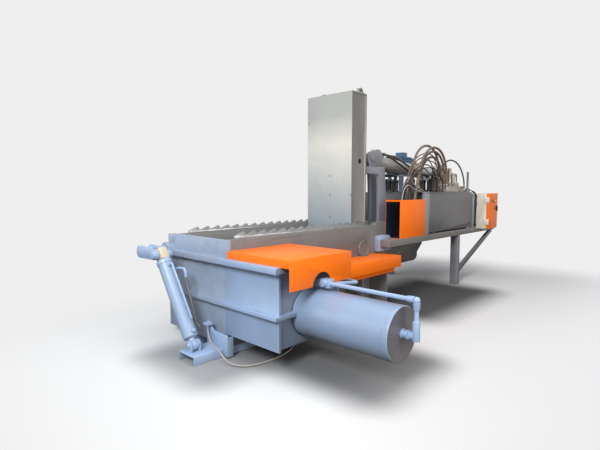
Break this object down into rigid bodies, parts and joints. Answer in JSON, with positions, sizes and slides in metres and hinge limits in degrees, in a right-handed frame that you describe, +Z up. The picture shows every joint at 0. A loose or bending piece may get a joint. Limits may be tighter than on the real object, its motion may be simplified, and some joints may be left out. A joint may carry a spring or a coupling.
{
  "type": "recycling baler",
  "caption": "Scrap metal baling press with an upright pressing lid, side and main rams, a locked bale gate and a hydraulic power pack on a rear platform.",
  "frame": {"origin": "on the floor under the outer face of the end wall, on the middle line of the charging chamber", "axes": "+X from the end wall along the press to the power pack, -Y to the side cylinder, +Y to the bale gate, +Z up"},
  "size_m": [6.189, 2.8839, 2.745],
  "materials": {
    "frame_paint": "satin",
    "lid_paint": "gloss",
    "orange_paint": "satin",
    "tank_paint": "satin",
    "cabinet_paint": "satin",
    "motor_paint": "gloss",
    "dark_paint": "satin",
    "blade_steel": "ground",
    "zinc_steel": "plated",
    "rod_chrome": "polished",
    "hose_rubber": "matte",
    "green_button": "gloss",
    "red_button": "gloss",
    "yellow_button": "gloss"
  },
  "bodies": {
    "frame": {"base_channels": "frame_paint", "base_tie": "frame_paint", "chamber_floor": "frame_paint", "near_wall": "frame_paint", "far_wall": "frame_paint", "end_wall": "frame_paint", "rear_wall": "frame_paint", "near_shear_blade": "blade_steel", "far_shear_blade": "blade_steel", "side_housing": "frame_paint", "side_cover": "orange_paint", "ledge_cover": "orange_paint", "side_cylinder": "frame_paint", "main_cylinder": "frame_paint", "lid_hinge_pin": "frame_paint", "lid_tail_bracket": "frame_paint", "gate_bearings": "frame_paint", "lock_foot": "frame_paint", "platform_beams": "frame_paint", "beam_brackets": "frame_paint", "rear_legs": "frame_paint", "rear_gussets": "frame_paint", "pack_guard": "orange_paint", "pack_posts": "frame_paint", "oil_tank": "tank_paint", "tank_cover": "tank_paint", "motor_stand": "frame_paint", "motor": "motor_paint", "motor_fan_cover": "dark_paint", "main_pump": "zinc_steel", "charge_pump": "dark_paint", "manifold": "zinc_steel", "valve_stacks": "zinc_steel", "cabinet": "cabinet_paint", "side_feed_pipe": "frame_paint", "lock_hose": "hose_rubber", "arch_hose_1": "hose_rubber", "arch_hose_2": "hose_rubber", "arch_hose_3": "hose_rubber", "arch_hose_4": "hose_rubber", "valve_hose": "hose_rubber"},
    "side_ram": {"side_ram": "blade_steel", "side_ram_rod": "rod_chrome"},
    "main_ram": {"main_ram": "blade_steel", "main_ram_rod": "rod_chrome"},
    "lid": {"lid": "lid_paint", "lid_arms": "frame_paint"},
    "lid_barrel": {"lid_barrel": "frame_paint", "lid_hose_a": "hose_rubber", "lid_hose_b": "hose_rubber"},
    "lid_rod": {"lid_rod": "rod_chrome"},
    "gate": {"gate": "frame_paint"},
    "lock_shaft": {"lock_shaft": "frame_paint"},
    "lock_barrel": {"lock_barrel": "frame_paint"},
    "lock_rod": {"lock_rod": "rod_chrome"},
    "cabinet_door": {"cabinet_door": "orange_paint"},
    "door_latch": {"door_latch": "zinc_steel"},
    "start_button": {"start_button": "green_button"},
    "stop_button": {"stop_button": "red_button"},
    "jog_button": {"jog_button": "yellow_button"}
  },
  "joints": [
    {"name": "side_ram_slide", "type": "slide", "parent": "frame", "child": "side_ram", "axis": [0, 1, 0], "range_m": [0, 0.73]},
    {"name": "main_ram_slide", "type": "slide", "parent": "frame", "child": "main_ram", "axis": [-1, 0, 0], "range_m": [0, 1.18]},
    {"name": "lid_hinge", "type": "hinge", "parent": "frame", "child": "lid", "pos_m": [2.05, 0, 0.77], "axis": [0, -1, 0], "range_deg": [0, 90]},
    {"name": "lid_barrel_swing", "type": "hinge", "parent": "frame", "child": "lid_barrel", "pos_m": [4.9, 0, 1.72], "axis": [0, -1, 0], "range_deg": [0, 10]},
    {"name": "lid_rod_slide", "type": "slide", "parent": "lid_barrel", "child": "lid_rod", "axis": [-0.9966, 0, 0.0821], "range_m": [0, 1.76]},
    {"name": "gate_hinge", "type": "hinge", "parent": "frame", "child": "gate", "pos_m": [0.46, 0.484, 0.8], "axis": [1, 0, 0], "range_deg": [0, 80]},
    {"name": "lock_turn", "type": "hinge", "parent": "frame", "child": "lock_shaft", "pos_m": [0.3, 0.52, 0.889], "axis": [-1, 0, 0], "range_deg": [0, 60]},
    {"name": "lock_barrel_swing", "type": "hinge", "parent": "frame", "child": "lock_barrel", "pos_m": [-0.275, -0.285, 0.134], "axis": [1, 0, 0], "range_deg": [0, 1.7]},
    {"name": "lock_rod_slide", "type": "slide", "parent": "lock_barrel", "child": "lock_rod", "axis": [0, 0.5644, 0.8255], "range_m": [0, 0.3]},
    {"name": "cabinet_door_hinge", "type": "hinge", "parent": "frame", "child": "cabinet_door", "pos_m": [4.971, -0.864, 1.14], "axis": [0, 0, -1], "range_deg": [0, 110]},
    {"name": "door_latch_turn", "type": "hinge", "parent": "cabinet_door", "child": "door_latch", "pos_m": [5.3, -0.87, 1.18], "axis": [0, 1, 0], "range_deg": [0, 90]},
    {"name": "start_button_press", "type": "slide", "parent": "cabinet_door", "child": "start_button", "axis": [0, 1, 0], "range_m": [0, 0.004], "stiffness_N_per_m": 600},
    {"name": "stop_button_press", "type": "slide", "parent": "cabinet_door", "child": "stop_button", "axis": [0, 1, 0], "range_m": [0, 0.004], "stiffness_N_per_m": 600},
    {"name": "jog_button_press", "type": "slide", "parent": "cabinet_door", "child": "jog_button", "axis": [0, 1, 0], "range_m": [0, 0.004], "stiffness_N_per_m": 600}
  ],
  "couplings": [
    {"joint": "lid_barrel_swing", "follows": "lid_hinge", "ratio": 0.10732},
    {"joint": "lid_rod_slide", "follows": "lid_hinge", "m_per_rad": 1.1124},
    {"joint": "lock_barrel_swing", "follows": "lock_turn", "ratio": 0.0252},
    {"joint": "lock_rod_slide", "follows": "lock_turn", "m_per_rad": 0.2806}
  ]
}
